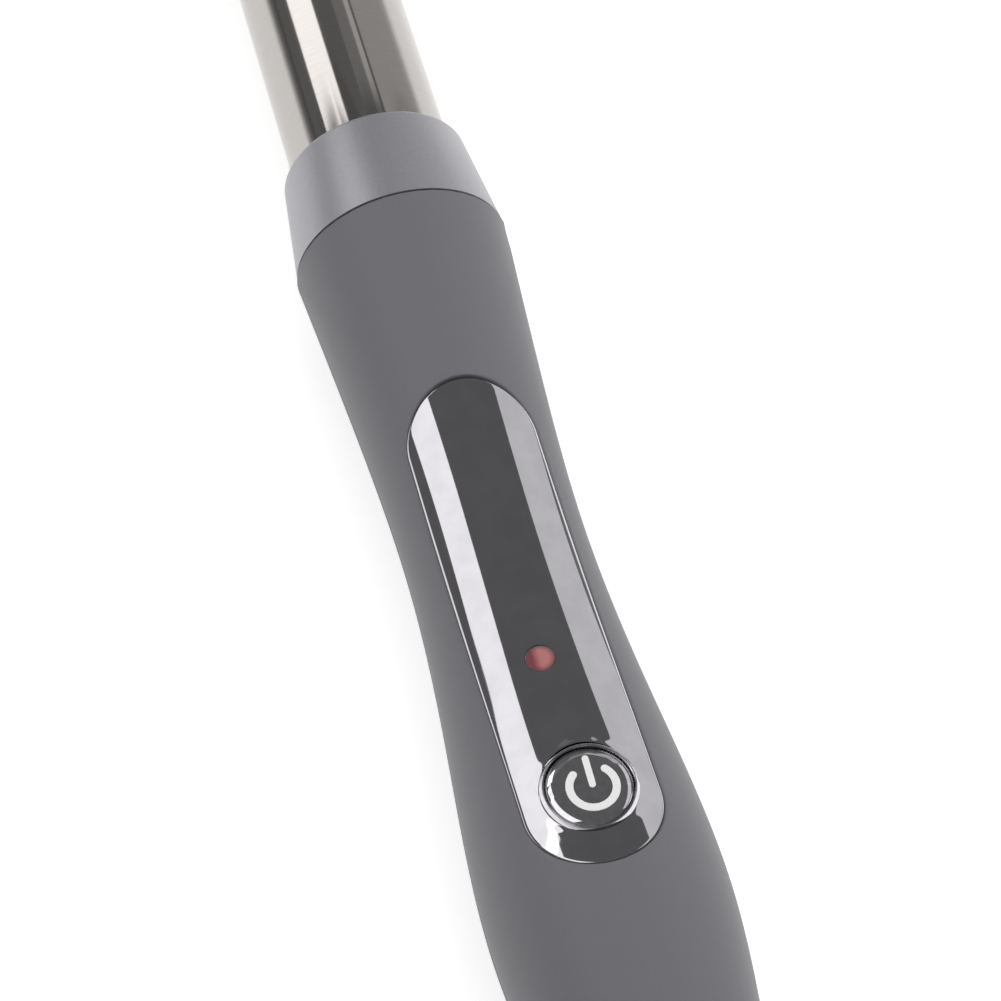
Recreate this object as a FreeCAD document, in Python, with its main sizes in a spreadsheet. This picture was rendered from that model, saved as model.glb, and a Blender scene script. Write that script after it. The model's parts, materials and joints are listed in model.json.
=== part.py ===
import FreeCAD, Part
import math
import os
import re
import Sketcher

# A one inch curling wand, lying on its back: the handle's panel and button face +Z, and the
# barrel's tip points along +Y. Stations run along the wand's axis: 0 is the seam between handle
# and collar, the barrel is on the positive side, and the cord's end on the negative side.

V = FreeCAD.Vector
SIZES = {
    # where the wand's axis lies
    "rest_height": 16.62, "seam_from_origin": 3,
    # barrel
    "barrel_radius": 12.5, "barrel_wall": 0.8, "barrel_front": 142, "barrel_back": -8.4,
    "neck_radius": 12.3, "tip_front": 157, "tip_radius": 12.3, "tip_spigot": 9,
    # heater inside the barrel
    "block_radius": 11.6, "block_gap": 1.9, "block_wall": 1.3,
    "heater_back": 42, "heater_front": 98,
    "heater_half_width": 8, "heater_half_thick": 0.65, "sheet_thick": 0.3, "sheet_gap": 0.05,
    "spring_side": 9.7, "spring_width": 1.4, "spring_thick": 0.3, "sensor_height": 6.5,
    "fuse_drop": 6, "barrel_screw_station": -3.5,
    # collar and barrel holder
    "collar_top": 17.1, "collar_base_radius": 16.3, "collar_top_radius": 14.35,
    "collar_edge": 0.9, "collar_spigot": 13.8,
    "collar_bore": 12.8, "holder_radius": 13.45, "holder_front": 12, "holder_tail_radius": 12.2,
    "holder_back": -20, "ring_radius": 16.1, "seam_gap": 0.4,
    # handle: radius at each named station of its outline
    "handle_wall": 2.2, "seam_radius": 16.45, "shoulder_radius": 14.22, "shoulder_station": -30,
    "waist_radius": 13.22, "waist_station": -55, "swell_radius": 14.49, "swell_station": -80,
    "thumb_radius": 16.25, "thumb_station": -100, "palm_radius": 16.57, "palm_station": -113,
    "taper_radius": 14.68, "taper_station": -132, "heel_radius": 12.0, "heel_station": -150,
    "rear_extra_wall": 1.6,
    # screws that join the two shells
    "boss_radius": 3.2, "pilot_radius": 1.25, "front_boss": -25.5, "rear_boss": -125,
    "screw_head_radius": 2.7, "screw_seat": 6.5,
    # control panel
    "panel_half_width": 9.53, "panel_gap": 0.13, "panel_top": -41.7, "panel_bottom": -101.25,
    "panel_drop": 0.5, "crown_shift": 2.4, "carrier_thick": 1.2, "carrier_lap": 1.3,
    # power button, measured along its own tilted axis
    "button_station": -99.5, "button_height": 15.9, "button_tilt": 3.3,
    "bezel_radius": 6.55, "bezel_bore": 5.91, "bezel_depth": 3.2, "cap_radius": 5.83,
    "cap_edge": 0.7, "cap_flange": 6.15, "stem_radius": 1.8, "stem_depth": 4.4,
    "symbol_radius": 3.07, "symbol_stroke": 1.05, "symbol_thick": 0.07, "symbol_gap": 44,
    "symbol_side": 0.4, "symbol_shift": -0.3, "symbol_turn": -2,
    "lens_radius": 2.05, "lens_side": -0.78, "lens_station": -78.9,
    # circuit board
    "board_top": 6.5, "board_thick": 1.6, "board_half_width": 6.6, "board_front": -36,
    "board_back": -106, "post_side": 4.6, "post_radius": 1.8, "post_front": -45, "post_back": -88,
    # cord swivel
    "cap_front": -149.9, "cap_back": -155, "end_cap_radius": 11.9, "swivel_bore": 7.0,
    "swivel_radius": 6.92, "swivel_back": -163, "swivel_front": -133, "cord_bore": 3.3,
    "neck_of_swivel": 5.0, "ring_thick": 0.8,
}

doc = FreeCAD.newDocument("curling_wand")
sheet = doc.addObject("Spreadsheet::Sheet", "dimensions")
for row, (alias, value) in enumerate(SIZES.items(), 1):
    sheet.set(f"A{row}", alias)
    sheet.set(f"B{row}", str(value))
    sheet.setAlias(f"B{row}", alias)
doc.recompute()
NODES = []


# ---- helpers -----------------------------------------------------------------------------------

def bound(text):
    """The formula with the sheet's name before each alias, for setExpression."""
    return re.sub(r"[a-z][a-z_]+", lambda word: "dimensions." + word.group(), str(text))


def number(text):
    """The formula's present value."""
    plain = re.sub(r"[a-z][a-z_]+", lambda word: f"({sheet.get(word.group())})", str(text))
    return FreeCAD.Units.Quantity(plain).Value


def bind(thing, **formulas):
    for name, text in formulas.items():
        thing.setExpression(name.replace("__", "."), bound(text))


def node(thing, x=0, y=0, z=0, turn=0):
    """Puts a finished sub-part in the wand's frame, turned about X, and keeps it for export."""
    if thing.TypeId in ("Part::Box", "Part::Cylinder"):
        name = thing.Label
        thing.Label = f"{name}_solid"
        thing = group(name, [thing])
    thing.Placement = FreeCAD.Placement(V(), FreeCAD.Rotation(V(1, 0, 0), turn))
    bind(thing, Placement__Base__x=x, Placement__Base__y=f"{y} + seam_from_origin",
         Placement__Base__z=f"{z} + rest_height")
    NODES.append(thing)
    return thing


def primitive(kind, name, at=(0, 0, 0), axis=(0, 0, 1), **formulas):
    """A Part primitive whose own Z lies along axis, at a place given by three formulas."""
    thing = doc.addObject(f"Part::{kind}", name)
    thing.Placement = FreeCAD.Placement(V(), FreeCAD.Rotation(V(0, 0, 1), V(*axis)))
    bind(thing, **formulas)
    bind(thing, Placement__Base__x=at[0], Placement__Base__y=at[1], Placement__Base__z=at[2])
    return thing


def box(name, low, high):
    """A box between two corners given as formulas."""
    length, width, height = (f"({b}) - ({a})" for a, b in zip(low, high))
    return primitive("Box", name, low, Length=length, Width=width, Height=height)


def rod(name, radius, start, finish, x=0, z=0):
    """A round bar along the wand's axis."""
    return primitive("Cylinder", name, (x, start, z), (0, 1, 0), Radius=radius,
                     Height=f"({finish}) - ({start})")


def post(name, radius, x, y, low, high):
    """A round bar along Z."""
    return primitive("Cylinder", name, (x, y, low), Radius=radius, Height=f"({high}) - ({low})")


def cut(name, base, tool):
    thing = doc.addObject("Part::Cut", name)
    thing.Base = base
    thing.Tool = tool
    return thing


def fused(name, pieces):
    thing = doc.addObject("Part::MultiFuse", name)
    thing.Shapes = pieces
    return thing


def group(name, pieces):
    """Separate solids that share one node."""
    thing = doc.addObject("Part::Compound", name)
    thing.Label = name
    thing.Links = pieces
    return thing


def new_body(name):
    return doc.addObject("PartDesign::Body", name)


def sketch_on(body, role, name, lift=0):
    """A sketch on one of the body's own origin planes, lifted along the plane's normal."""
    sketch = body.newObject("Sketcher::SketchObject", name)
    plane = next(f for f in body.Origin.OriginFeatures if f.Role == role)
    sketch.AttachmentSupport = [(plane, "")]
    sketch.MapMode = "FlatFace"
    bind(sketch, AttachmentOffset__Base__z=lift)
    return sketch


def pin_point(sketch, edge, end, x, y):
    """Fixes a point of a sketch with one dimension along each axis, bound to the sheet."""
    for kind, text, axis in (("DistanceX", x, -2), ("DistanceY", y, -1)):
        if number(text) == 0:
            sketch.addConstraint(Sketcher.Constraint("PointOnObject", edge, end, axis))
        else:
            index = sketch.addConstraint(
                Sketcher.Constraint(kind, -1, 1, edge, end, number(text)))
            sketch.setExpression(f"Constraints[{index}]", bound(text))


def polygon(sketch, corners):
    """A closed outline of straight edges through corners given as formulas."""
    first = sketch.GeometryCount
    places = [V(number(x), number(y), 0) for x, y in corners]
    for start, finish in zip(places, places[1:] + places[:1]):
        sketch.addGeometry(Part.LineSegment(start, finish), False)
    count = len(corners)
    for i, (x, y) in enumerate(corners):
        before = first + (i - 1) % count
        sketch.addConstraint(Sketcher.Constraint("Coincident", before, 2, first + i, 1))
        pin_point(sketch, first + i, 1, x, y)


def circle(sketch, x, y, radius):
    edge = sketch.addGeometry(Part.Circle(V(number(x), number(y), 0), V(0, 0, 1), number(radius)))
    pin_point(sketch, edge, 3, x, y)
    index = sketch.addConstraint(Sketcher.Constraint("Radius", edge, number(radius)))
    sketch.setExpression(f"Constraints[{index}]", bound(radius))


def stadium(sketch, half_width, top, bottom):
    """A slot-shaped outline round two centres on the sketch's Y axis."""
    radius, high, low = number(half_width), number(top), number(bottom)
    upper = Part.Circle(V(0, high, 0), V(0, 0, 1), radius)
    lower = Part.Circle(V(0, low, 0), V(0, 0, 1), radius)
    first = sketch.addGeometry(Part.ArcOfCircle(upper, 0, math.pi))
    sketch.addGeometry(Part.LineSegment(V(-radius, high, 0), V(-radius, low, 0)))
    sketch.addGeometry(Part.ArcOfCircle(lower, math.pi, 2 * math.pi))
    sketch.addGeometry(Part.LineSegment(V(radius, low, 0), V(radius, high, 0)))
    for i in range(4):
        sketch.addConstraint(
            Sketcher.Constraint("Tangent", first + i, 2, first + (i + 1) % 4, 1))
    sketch.addConstraint(Sketcher.Constraint("Vertical", first + 1))
    index = sketch.addConstraint(Sketcher.Constraint("Radius", first, radius))
    sketch.setExpression(f"Constraints[{index}]", bound(half_width))
    pin_point(sketch, first, 3, 0, top)
    pin_point(sketch, first + 2, 3, 0, bottom)


def outline(drop, extra=0, start=None, finish=None):
    """The handle's outer curve moved in by drop, and by extra more from the waist to the palm."""
    names = ("shoulder", "waist", "swell", "thumb", "palm", "taper", "heel")
    points = [(number("seam_radius"), number("-seam_gap"))]
    points += [(number(f"{n}_radius"), number(f"{n}_station")) for n in names]
    thicker = (number("palm_station") - 1, number("waist_station") + 1)
    curve = Part.BSplineCurve()
    curve.interpolate([V(radius - drop - extra * (thicker[0] < station < thicker[1]), station, 0)
                       for radius, station in points])
    if start is None:
        return curve
    crossings = [curve.intersectCC(Part.LineSegment(V(0, s, 0), V(40, s, 0)))[0]
                 for s in (start, finish)]
    a, b = (curve.parameter(V(p.X, p.Y, p.Z)) for p in crossings)
    curve.segment(min(a, b), max(a, b))
    return curve


def band(sketch, outer, inner, swap=False):
    """The closed strip between two outline curves; swap puts stations along the sketch's X."""
    if swap:
        turn = FreeCAD.Placement(V(), FreeCAD.Rotation(V(1, 1, 0), 180)).toMatrix()
        outer.transform(turn)
        inner.transform(turn)
    sketch.addGeometry(outer)
    sketch.addGeometry(inner)
    for end in ("StartPoint", "EndPoint"):
        sketch.addGeometry(Part.LineSegment(getattr(outer, end), getattr(inner, end)))


def revolve(body, sketch, axis="V_Axis", angle=360, flip=False, both=False):
    feature = body.newObject("PartDesign::Revolution", "turn")
    feature.Profile = sketch
    feature.ReferenceAxis = (sketch, [axis])
    feature.Angle = angle
    feature.Reversed = flip
    feature.Midplane = both
    body.Tip = feature
    return feature


def pad(body, sketch, length, flip=False):
    feature = body.newObject("PartDesign::Pad", "pad")
    feature.Profile = sketch
    bind(feature, Length=length)
    feature.Reversed = flip
    body.Tip = feature
    return feature


def pocket(body, sketch, length=None, up=False):
    """Cuts along the sketch's normal when up is true, else against it; no length cuts through."""
    doc.recompute()
    before = body.Shape.Volume
    feature = body.newObject("PartDesign::Pocket", "pocket")
    feature.Profile = sketch
    if length is None:
        feature.Type = "ThroughAll"
    else:
        bind(feature, Length=length)
    feature.Reversed = up
    body.Tip = feature
    doc.recompute()
    if body.Shape.Volume > before - 0.01:
        raise ValueError(f"{body.Label}: a pocket cut nothing")
    return feature


def turned(name, corners):
    """A body of revolution about the wand's axis; corners are (radius, station)."""
    body = new_body(name)
    sketch = sketch_on(body, "XY_Plane", "profile")
    polygon(sketch, corners)
    revolve(body, sketch)
    return body


def soften(body, radius, rings):
    """Fillets the circular edges whose (radius, station) are listed."""
    doc.recompute()
    base = body.Tip
    wanted = [(number(r), number(s)) for r, s in rings]
    names = []
    for index, edge in enumerate(base.Shape.Edges, 1):
        if not isinstance(edge.Curve, Part.Circle):
            continue
        spot = (edge.Curve.Radius, edge.Curve.Center.y)
        if any(math.dist(spot, ring) < 0.01 for ring in wanted):
            names.append(f"Edge{index}")
    feature = body.newObject("PartDesign::Fillet", "soft_edge")
    feature.Base = (base, names)
    bind(feature, Radius=radius)
    body.Tip = feature


# ---- barrel ------------------------------------------------------------------------------------

def barrel_tube():
    body = turned("barrel_tube", [
        ("neck_radius", "barrel_back"), ("neck_radius", "collar_top"),
        ("barrel_radius", "collar_top"), ("barrel_radius", "barrel_front"),
        ("barrel_radius - barrel_wall", "barrel_front"),
        ("barrel_radius - barrel_wall", "barrel_back")])
    soften(body, 0.3, [("barrel_radius", "barrel_front")])
    screw_holes = sketch_on(body, "XY_Plane", "screw_holes", "-barrel_radius - 2")
    circle(screw_holes, 0, "barrel_screw_station", 1.15)
    pocket(body, screw_holes, "barrel_radius + 2", up=True)
    side_holes = sketch_on(body, "YZ_Plane", "side_holes", "-barrel_radius - 2")
    circle(side_holes, "barrel_screw_station", 0, 1.15)
    pocket(body, side_holes, "2 * barrel_radius + 4", up=True)
    node(body)


def cool_tip():
    body = turned("cool_tip", [
        (0, "tip_front - 2"), ("block_radius - 1.6", "tip_front - 3"),
        ("block_radius - 1.6", "barrel_front - tip_spigot"),
        ("block_radius", "barrel_front - tip_spigot"), ("block_radius", "barrel_front + 0.15"),
        ("tip_radius", "barrel_front + 0.15"), ("tip_radius - 0.5", "tip_front"), (0, "tip_front")])
    soften(body, 3.5, [("tip_radius - 0.5", "tip_front")])
    node(body)


def tip_insulator():
    node(turned("tip_insulator", [
        (3, "heater_front + 6"), ("block_radius", "heater_front + 6"),
        ("block_radius", "heater_front + 7.5"), (3, "heater_front + 7.5")]))


def heater_blocks():
    """Two hollow aluminium half rounds that press against the inside of the barrel."""
    for name, side in (("heater_block_upper", 1), ("heater_block_lower", -1)):
        low, high = sorted((f"{side} * block_gap", f"{side} * 13"), key=number)
        core = f"{side} * (block_gap + block_wall)"
        core_low, core_high = sorted((core, f"{side} * 13"), key=number)
        skin = doc.addObject("Part::MultiCommon", f"{name}_skin")
        skin.Shapes = [rod(f"{name}_round", "block_radius", "heater_back", "heater_front"),
                       box(f"{name}_half", (-13, "heater_back", low), (13, "heater_front", high))]
        hollow = doc.addObject("Part::MultiCommon", f"{name}_hollow")
        hollow.Shapes = [
            rod(f"{name}_bore", "block_radius - block_wall", "heater_back - 1", "heater_front + 1"),
            box(f"{name}_core", (-13, "heater_back - 1", core_low),
                (13, "heater_front + 1", core_high))]
        node(cut(name, skin, hollow))


def heater_sandwich():
    """The ceramic plate, its two insulating sheets and the springs either side of it."""
    long = ("heater_back + 2", "heater_front - 2")
    plate = box("ceramic_heater", ("-heater_half_width", long[0], "-heater_half_thick"),
                ("heater_half_width", long[1], "heater_half_thick"))
    node(plate)
    near, far = "(heater_half_thick + sheet_gap)", "(heater_half_thick + sheet_gap + sheet_thick)"
    sheets = [box(f"{side}_sheet", ("-heater_half_width - 0.3", long[0], low),
                  ("heater_half_width + 0.3", long[1], high))
              for side, low, high in (("upper", near, far), ("lower", f"-{far}", f"-{near}"))]
    node(group("insulating_sheets", sheets))
    springs = []
    waves, reach = 6, number("heater_front - heater_back - 8")
    peak, thick = number("block_gap - 0.4"), number("spring_thick")
    for side in (-1, 1):
        body = new_body("spring_left" if side < 0 else "spring_right")
        sketch = sketch_on(body, "YZ_Plane", "wave", f"{side} * spring_side - spring_width / 2")
        top = [(number("heater_back + 4") + reach * i / (2 * waves),
                peak if i % 2 else -peak) for i in range(2 * waves + 1)]
        low = [(y, z - thick) for y, z in reversed(top)]
        ring = [V(y, z, 0) for y, z in top + low]
        for start, finish in zip(ring, ring[1:] + ring[:1]):
            sketch.addGeometry(Part.LineSegment(start, finish))
        pad(body, sketch, "spring_width")
        springs.append(body)
    node(group("spreader_springs", springs))


def sensors():
    """The thermistor in its bore, and the thermal fuse in the cool part of the barrel."""
    high, low = "sensor_height", "-fuse_drop"
    node(rod("thermistor", 1.0, "heater_back + 5", "heater_back + 9", z=high))
    node(cut("thermistor_sleeve",
             rod("sleeve_outside", 1.55, "heater_back - 8", "heater_back + 13", z=high),
             rod("sleeve_inside", 1.2, "heater_back - 9", "heater_back + 14", z=high)))
    node(rod("thermal_fuse", 1.9, 22, 33, z=low))
    node(cut("fuse_sleeve", rod("wrap_outside", 2.6, 18, 37, z=low),
             rod("wrap_inside", 2.1, 17, 38, z=low)))


# ---- collar and barrel holder ------------------------------------------------------------------

def barrel_holder():
    body = turned("barrel_holder", [
        ("neck_radius + 0.05", "holder_front"), ("holder_radius", "holder_front"),
        ("holder_radius", "barrel_back - 1.6"), ("holder_tail_radius", "barrel_back - 1.6"),
        ("holder_tail_radius", "holder_back + 2"), ("holder_tail_radius + 0.4", "holder_back + 2"),
        ("holder_tail_radius + 0.4", "holder_back"), (9, "holder_back"),
        (9, "barrel_back - 0.1"), ("neck_radius + 0.05", "barrel_back - 0.1")])
    holes = sketch_on(body, "XY_Plane", "lower_screw", "-holder_radius - 2")
    circle(holes, 0, "barrel_screw_station", 2.0)
    pocket(body, holes, "holder_radius + 2", up=True)
    side_holes = sketch_on(body, "YZ_Plane", "side_screws", "-holder_radius - 2")
    circle(side_holes, "barrel_screw_station", 0, 2.0)
    pocket(body, side_holes, "2 * holder_radius + 4", up=True)
    node(body)


def barrel_screws():
    """Three short screws that hold the barrel's neck in its holder."""
    screws = []
    for name, axis in (("left", (-1, 0, 0)), ("right", (1, 0, 0)), ("under", (0, 0, -1))):
        start = [f"{a} * 10.6" for a in axis]
        seat = [f"{a} * (neck_radius + 0.1)" for a in axis]
        start[1] = seat[1] = "barrel_screw_station"
        shank = primitive("Cylinder", f"{name}_shank", start, axis, Radius=1.1,
                          Height="neck_radius - 10.4")
        head = primitive("Cylinder", f"{name}_head", seat, axis, Radius=1.9,
                         Height="holder_radius - neck_radius - 0.35")
        screws.append(fused(f"{name}_screw", [shank, head]))
    node(group("barrel_screws", screws))


def collar():
    body = turned("collar", [
        ("holder_radius + 0.05", -4), ("collar_spigot", -4), ("collar_spigot", 0),
        ("collar_base_radius", 0),
        ("collar_top_radius", "collar_top"), ("collar_bore", "collar_top"),
        ("collar_bore", "holder_front + 1.5"), ("holder_radius + 0.05", "holder_front + 1.5")])
    soften(body, "collar_edge", [("collar_top_radius", "collar_top")])
    node(body)


def seam_ring():
    node(turned("seam_ring", [(14.2, "-seam_gap + 0.02"), ("ring_radius", "-seam_gap + 0.02"),
                              ("ring_radius", -0.02), (14.2, -0.02)]))


# ---- handle shells -----------------------------------------------------------------------------

def shell(name, front):
    """Half of the handle: a hollow turned shape cut through the wand's axis."""
    body = new_body(name)
    sketch = sketch_on(body, "XY_Plane", "profile")
    extra = 0 if front else number("rear_extra_wall")
    band(sketch, outline(0), outline(number("handle_wall"), extra))
    revolve(body, sketch, angle=180, flip=front)
    rib = sketch_on(body, "XY_Plane", "holder_rib")
    polygon(rib, [("holder_tail_radius + 0.1", -17.5), (14.2, -17.5), (14.5, -12.5),
                  ("holder_tail_radius + 0.1", -12.5)])
    revolve(body, rib, angle=180, flip=front)
    swivel_rib = sketch_on(body, "XY_Plane", "swivel_rib")
    polygon(swivel_rib, [(9.1, -131.5), (13.2, -131.5), (13.2, -129.5), (9.1, -129.5)])
    revolve(body, swivel_rib, angle=180, flip=front)
    sign = 1 if front else -1
    for label, station, reach in (("front", "front_boss", 12.9), ("rear", "rear_boss", 14.0)):
        boss = sketch_on(body, "XY_Plane", f"{label}_boss", f"{sign} * 0.05")
        circle(boss, 0, station, "boss_radius + 0.8" if not front else "boss_radius")
        pad(body, boss, reach, flip=not front)
        hole = sketch_on(body, "XY_Plane", f"{label}_hole")
        circle(hole, 0, station, "pilot_radius" if front else "pilot_radius + 0.3")
        pocket(body, hole, 9 if front else None, up=front)
        if not front:
            seat = sketch_on(body, "XY_Plane", f"{label}_seat", "-screw_seat")
            circle(seat, 0, station, "screw_head_radius + 0.25")
            pocket(body, seat)
    if front:
        window = sketch_on(body, "XY_Plane", "panel_window")
        stadium(window, "panel_half_width", "panel_top", "panel_bottom")
        pocket(body, window, up=True)
    node(body)


def handle_screws():
    """Two screws, driven from the back, that pull the shells together."""
    screws, plugs = [], []
    for label, station, skin in (("front", "front_boss", 14.1), ("rear", "rear_boss", 15.1)):
        shank = post(f"{label}_shaft", "pilot_radius - 0.05", 0, station, "-screw_seat", 8)
        head = post(f"{label}_pan", "screw_head_radius", 0, station,
                    "-screw_seat - 2", "-screw_seat")
        screws.append(fused(f"{label}_handle_screw", [shank, head]))
        plugs.append(post(f"{label}_plug", "screw_head_radius + 0.2", 0, station,
                          -skin, -skin + 3.2))
    node(group("handle_screws", screws))
    node(group("screw_plugs", plugs))


def end_cap():
    body = turned("end_cap", [
        ("swivel_bore", "cap_back"), ("end_cap_radius - 0.9", "cap_back"),
        ("end_cap_radius", "cap_front - 0.1"), (9.2, "cap_front - 0.1"), (9.2, "cap_front + 6"),
        ("swivel_bore", "cap_front + 6")])
    soften(body, 1.6, [("end_cap_radius - 0.9", "cap_back")])
    node(body)


# ---- control panel -----------------------------------------------------------------------------

def crowned(name, top_drop, thick, half_width, lift):
    """A stadium-shaped strip that follows the handle's outline along its length."""
    body = new_body(name)
    sketch = sketch_on(body, "YZ_Plane", "crown")
    band(sketch, outline(top_drop - lift, 0, -113.5, -29.5),
         outline(top_drop - lift + thick, 0, -113.5, -29.5), swap=True)
    revolve(body, sketch, "H_Axis", 120, both=True)
    trim = sketch_on(body, "XY_Plane", "trim")
    polygon(trim, [(-30, -125), (30, -125), (30, -20), (-30, -20)])
    stadium(trim, half_width, "panel_top", "panel_bottom")
    pocket(body, trim, up=True)
    return body


def panel_plate():
    lift = number("crown_shift")
    strip = crowned("plate_strip", number("panel_drop"), number("handle_wall - panel_drop + 0.1"),
                    "panel_half_width - panel_gap", lift)
    strip.Placement.Base = V(0, 0, -lift)
    drill = tilted_drill("plate_drill", "bezel_radius + 0.05")
    light_hole = post("plate_light_hole", "lens_radius + 0.03", "lens_side", "lens_station", 5, 20)
    node(cut("panel_plate", strip, fused("plate_tools", [drill, light_hole])))


def tilted_drill(name, radius):
    """A long cylinder on the power button's axis."""
    tilt = math.radians(number("button_tilt"))
    lean = f"{math.tan(tilt):.5f}"
    return primitive("Cylinder", name, (0, f"button_station - 10 * {lean}", "button_height - 10"),
                     (0, math.sin(tilt), math.cos(tilt)), Radius=radius, Height=20)


def panel_carrier():
    """The moulded tray behind the plate, with four posts that hold the circuit board."""
    strip = crowned("carrier_strip", number("handle_wall + 0.35"), number("carrier_thick"),
                    "panel_half_width + carrier_lap", 0)
    posts, pilots = [], []
    for station, top in (("post_front", 8.4), ("post_back", 10.4)):
        for side in (-1, 1):
            tag = f"{'left' if side < 0 else 'right'}_{station}"
            spot = (f"{side} * post_side", station)
            posts.append(post(f"carrier_{tag}", "post_radius", *spot, "board_top", top))
            pilots.append(post(f"pilot_{tag}", 0.95, *spot, "board_top - 1", "board_top + 2.2"))
    drill = tilted_drill("carrier_drill", "bezel_radius + 0.15")
    light_hole = post("carrier_light_hole", "lens_radius + 0.1", "lens_side", "lens_station", 2, 20)
    solid = fused("carrier_solid", [strip] + posts)
    node(cut("panel_carrier", solid, fused("carrier_tools", [drill, light_hole] + pilots)))


def indicator():
    node(post("indicator_lens", "lens_radius", "lens_side", "lens_station", 11.2, 13.85))
    dome = primitive("Sphere", "led_dome", ("lens_side", "lens_station", "board_top + 2.9"), Radius=1.5)
    stem = post("led_stem", 1.5, "lens_side", "lens_station", "board_top + 0.05", "board_top + 2.9")
    node(fused("indicator_led", [stem, dome]))


def button_frame(thing):
    """Places a part drawn round the power button's own axis."""
    return node(thing, y="button_station", z="button_height", turn=-number("button_tilt"))


def on_button_axis(name, corners):
    """A body of revolution about Z; corners are (radius, height)."""
    body = new_body(name)
    sketch = sketch_on(body, "XZ_Plane", "profile")
    polygon(sketch, corners)
    revolve(body, sketch)
    return body


def button_parts():
    bezel = on_button_axis("button_bezel", [
        ("bezel_bore", "-bezel_depth"), ("bezel_radius", "-bezel_depth"),
        ("bezel_radius", -0.25), ("bezel_radius - 0.2", 0), ("bezel_bore + 0.15", 0),
        ("bezel_bore", -0.15)])
    button_frame(bezel)
    cap = on_button_axis("power_button", [
        (0, "-stem_depth"), ("stem_radius", "-stem_depth"), ("stem_radius", -1.6), (4.7, -1.6),
        (4.7, -3.9), ("cap_flange", -3.9), ("cap_flange", "-bezel_depth - 0.1"),
        ("cap_radius", "-bezel_depth - 0.1"), ("cap_radius", "-cap_edge"),
        ("cap_radius - 0.3 * cap_edge", "-0.3 * cap_edge"), ("cap_radius - cap_edge", 0),
        (0, 0)])
    button_frame(cap)
    power_symbol()


def power_symbol():
    """The printed mark on the cap: an open ring and a bar, drawn upright and then placed."""
    low, high = 0, "symbol_thick"
    ring = cut("symbol_ring",
               post("ring_outside", "symbol_radius + symbol_stroke / 2", 0, 0, low, high),
               post("ring_inside", "symbol_radius - symbol_stroke / 2", 0, 0, -1, 1))
    gap = math.radians(number("symbol_gap"))
    reach = number("symbol_radius") * 2
    wedge = Part.makePolygon([V(0, 0, -1), V(-reach * math.tan(gap), reach, -1),
                              V(reach * math.tan(gap), reach, -1), V(0, 0, -1)])
    opening = doc.addObject("Part::Feature", "symbol_opening")
    opening.Shape = Part.Face(wedge).extrude(V(0, 0, 2))
    ends = []
    for side in (-1, 1):
        spot = [f"{turn:.4f} * symbol_radius" for turn in (side * math.sin(gap), math.cos(gap))]
        ends.append(post(f"{'left' if side < 0 else 'right'}_end", "symbol_stroke / 2", *spot,
                         low, high))
    bar = box("symbol_bar", ("-0.45", 0.3, low), ("0.45", 4.2, high))
    bar_ends = [post("bar_low", 0.45, 0, 0.3, low, high),
                post("bar_high", 0.45, 0, 4.2, low, high)]
    open_ring = fused("symbol_arc", [cut("symbol_gap_cut", ring, opening)] + ends)
    stroke = fused("symbol_stroke_bar", [bar] + bar_ends)
    mark = group("symbol_mark", [open_ring, stroke])
    mark.Placement = FreeCAD.Placement(V(), FreeCAD.Rotation(V(0, 0, 1), number("symbol_turn")))
    bind(mark, Placement__Base__x="symbol_side", Placement__Base__y="symbol_shift")
    button_frame(group("power_symbol", [mark]))


# ---- circuit board -----------------------------------------------------------------------------

def circuit_board():
    body = new_body("circuit_board")
    sketch = sketch_on(body, "XY_Plane", "outline", "board_top - board_thick")
    polygon(sketch, [("-board_half_width", "board_back"), ("board_half_width", "board_back"),
                     ("board_half_width", "board_front"), ("-board_half_width", "board_front")])
    for side in (-1, 1):
        for station in ("post_front", "post_back"):
            circle(sketch, f"{side} * post_side", station, 1.15)
    pad(body, sketch, "board_thick")
    node(body)
    screws = []
    for side in (-1, 1):
        for station in ("post_front", "post_back"):
            tag = f"{'left' if side < 0 else 'right'}_{station}"
            spot = (f"{side} * post_side", station)
            shank = post(f"shank_{tag}", 0.9, *spot, "board_top - board_thick", "board_top + 2")
            head = post(f"head_{tag}", 1.8, *spot, "board_top - board_thick - 1.2",
                        "board_top - board_thick")
            screws.append(fused(f"screw_{tag}", [shank, head]))
    node(group("board_screws", screws))


def tact_switch():
    """The push switch under the power button."""
    low, high = "board_top + 0.02", "board_top + 3.5"
    case = cut("switch_case", box("switch_block", (-3, "button_station - 3", low),
                                  (3, "button_station + 3", high)),
               post("switch_well", 2.25, 0, "button_station", "board_top + 1.2", "board_top + 5"))
    case.Label = "tact_switch_body"
    node(case)
    node(cut("tact_switch_cover", box("cover_sheet", (-3, "button_station - 3", high),
                                      (3, "button_station + 3", f"{high} + 0.25")),
             post("cover_hole", 1.8, 0, "button_station", "board_top + 3", "board_top + 5")))
    node(post("switch_dome", 2.1, 0, "button_station", "board_top + 1.25", "board_top + 1.45"))
    node(post("tact_switch_plunger", 1.72, 0, "button_station", "board_top + 2.05",
              "button_height - stem_depth - 0.15"))


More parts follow.
